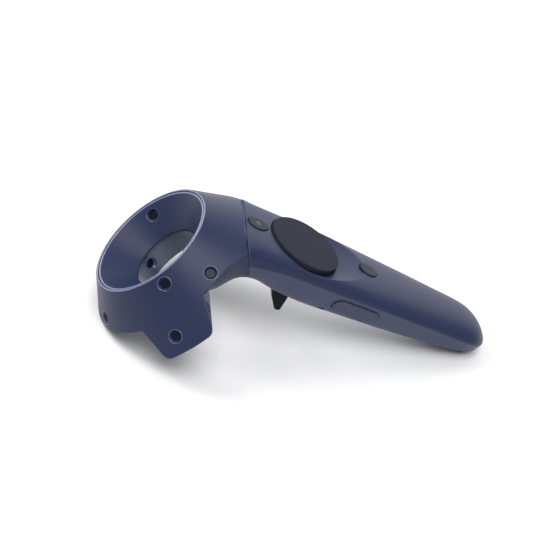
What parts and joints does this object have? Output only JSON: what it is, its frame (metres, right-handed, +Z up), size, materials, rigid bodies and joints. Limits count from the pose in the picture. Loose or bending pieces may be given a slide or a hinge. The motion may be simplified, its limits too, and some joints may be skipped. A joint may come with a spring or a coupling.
{
  "type": "motion controller wand",
  "caption": "Handheld motion controller wand: a tapered handle with a round trackpad, face and grip buttons and a trigger, and a flared open ring head dotted with tracking sensors.",
  "frame": {"origin": "centre of the bounding box at its bottom, where the wand stands on its ring's lower edge and its tail", "axes": "+X along the wand from the ring head to the tail, +Y to its right across the handle, +Z up from the ground"},
  "size_m": [0.2164, 0.1138, 0.0699],
  "materials": {
    "housing": "satin, fine texture",
    "lower_housing": "soft satin",
    "collar": "semi-gloss",
    "inner_plastic": "moulded",
    "flex": "polyimide film",
    "window": "infrared window, glossy",
    "circuit_board": "solder mask",
    "steel": "plated",
    "switch": "moulded",
    "trackpad": "fine matte",
    "button": "satin",
    "grip": "hatched, matte",
    "trigger": "glossy",
    "light": "clear pipe",
    "battery": "laminate pouch"
  },
  "bodies": {
    "handle_and_head": {"head_outer_shell": "housing", "head_funnel": "housing", "head_underside_cover": "housing", "handle_top_cover": "housing", "handle_bottom_cover": "lower_housing", "head_collar": "collar", "sensor_frame": "inner_plastic", "sensor_flex": "flex", "sensor_harness": "flex", "power_ribbon": "flex", "antenna": "flex", "sensor_windows_outer": "window", "sensor_windows_funnel": "window", "sensor_windows_collar": "window", "sensor_windows_underside": "window", "sensor_modules_outer": "circuit_board", "sensor_modules_funnel": "circuit_board", "sensor_modules_collar": "circuit_board", "sensor_modules_underside": "circuit_board", "ring_screws": "steel", "neck_joint_plates": "steel", "cover_screws": "steel", "shield_cans": "steel", "haptic_motor": "steel", "trigger_pin": "steel", "trigger_spring": "steel", "usb_socket": "steel", "trackpad_switch": "switch", "menu_switch": "switch", "system_switch": "switch", "left_grip_switch": "switch", "right_grip_switch": "switch", "trigger_click_switch": "switch", "trigger_hall_sensor": "switch", "status_light_pipe": "light", "main_board": "circuit_board", "left_grip_board": "circuit_board", "right_grip_board": "circuit_board", "tail_board": "circuit_board", "trigger_bracket": "inner_plastic", "battery_tray": "inner_plastic", "battery": "battery"},
    "trackpad": {"trackpad_cap": "trackpad", "trackpad_touch_board": "circuit_board", "trackpad_backplate": "inner_plastic"},
    "menu_button": {"menu_button": "button"},
    "system_button": {"system_button": "button"},
    "left_grip": {"left_grip_button": "grip"},
    "right_grip": {"right_grip_button": "grip"},
    "trigger": {"trigger": "trigger", "trigger_magnet": "steel"}
  },
  "joints": [
    {"name": "trackpad_press", "type": "slide", "parent": "handle_and_head", "child": "trackpad", "axis": [-0.3499, 0, -0.9368], "range_m": [0, 0.0005], "stiffness_N_per_m": 1500, "springref_m": -0.0004},
    {"name": "menu_press", "type": "slide", "parent": "handle_and_head", "child": "menu_button", "axis": [-0.3074, 0, -0.9516], "range_m": [0, 0.0004], "stiffness_N_per_m": 800, "springref_m": -0.0003},
    {"name": "system_press", "type": "slide", "parent": "handle_and_head", "child": "system_button", "axis": [-0.3074, 0, -0.9516], "range_m": [0, 0.0004], "stiffness_N_per_m": 800, "springref_m": -0.0003},
    {"name": "left_grip_squeeze", "type": "slide", "parent": "handle_and_head", "child": "left_grip", "axis": [0, 1, 0], "range_m": [0, 0.0006], "stiffness_N_per_m": 1500, "springref_m": -0.0003},
    {"name": "right_grip_squeeze", "type": "slide", "parent": "handle_and_head", "child": "right_grip", "axis": [0, -1, 0], "range_m": [0, 0.0006], "stiffness_N_per_m": 1500, "springref_m": -0.0003},
    {"name": "trigger_pull", "type": "hinge", "parent": "handle_and_head", "child": "trigger", "pos_m": [-0.01796, 0, 0.04234], "axis": [0, -1, 0], "range_deg": [0, 18], "stiffness_Nm_per_rad": 0.08, "springref_deg": -6.88, "deforming": ["trigger_spring"]}
  ]
}
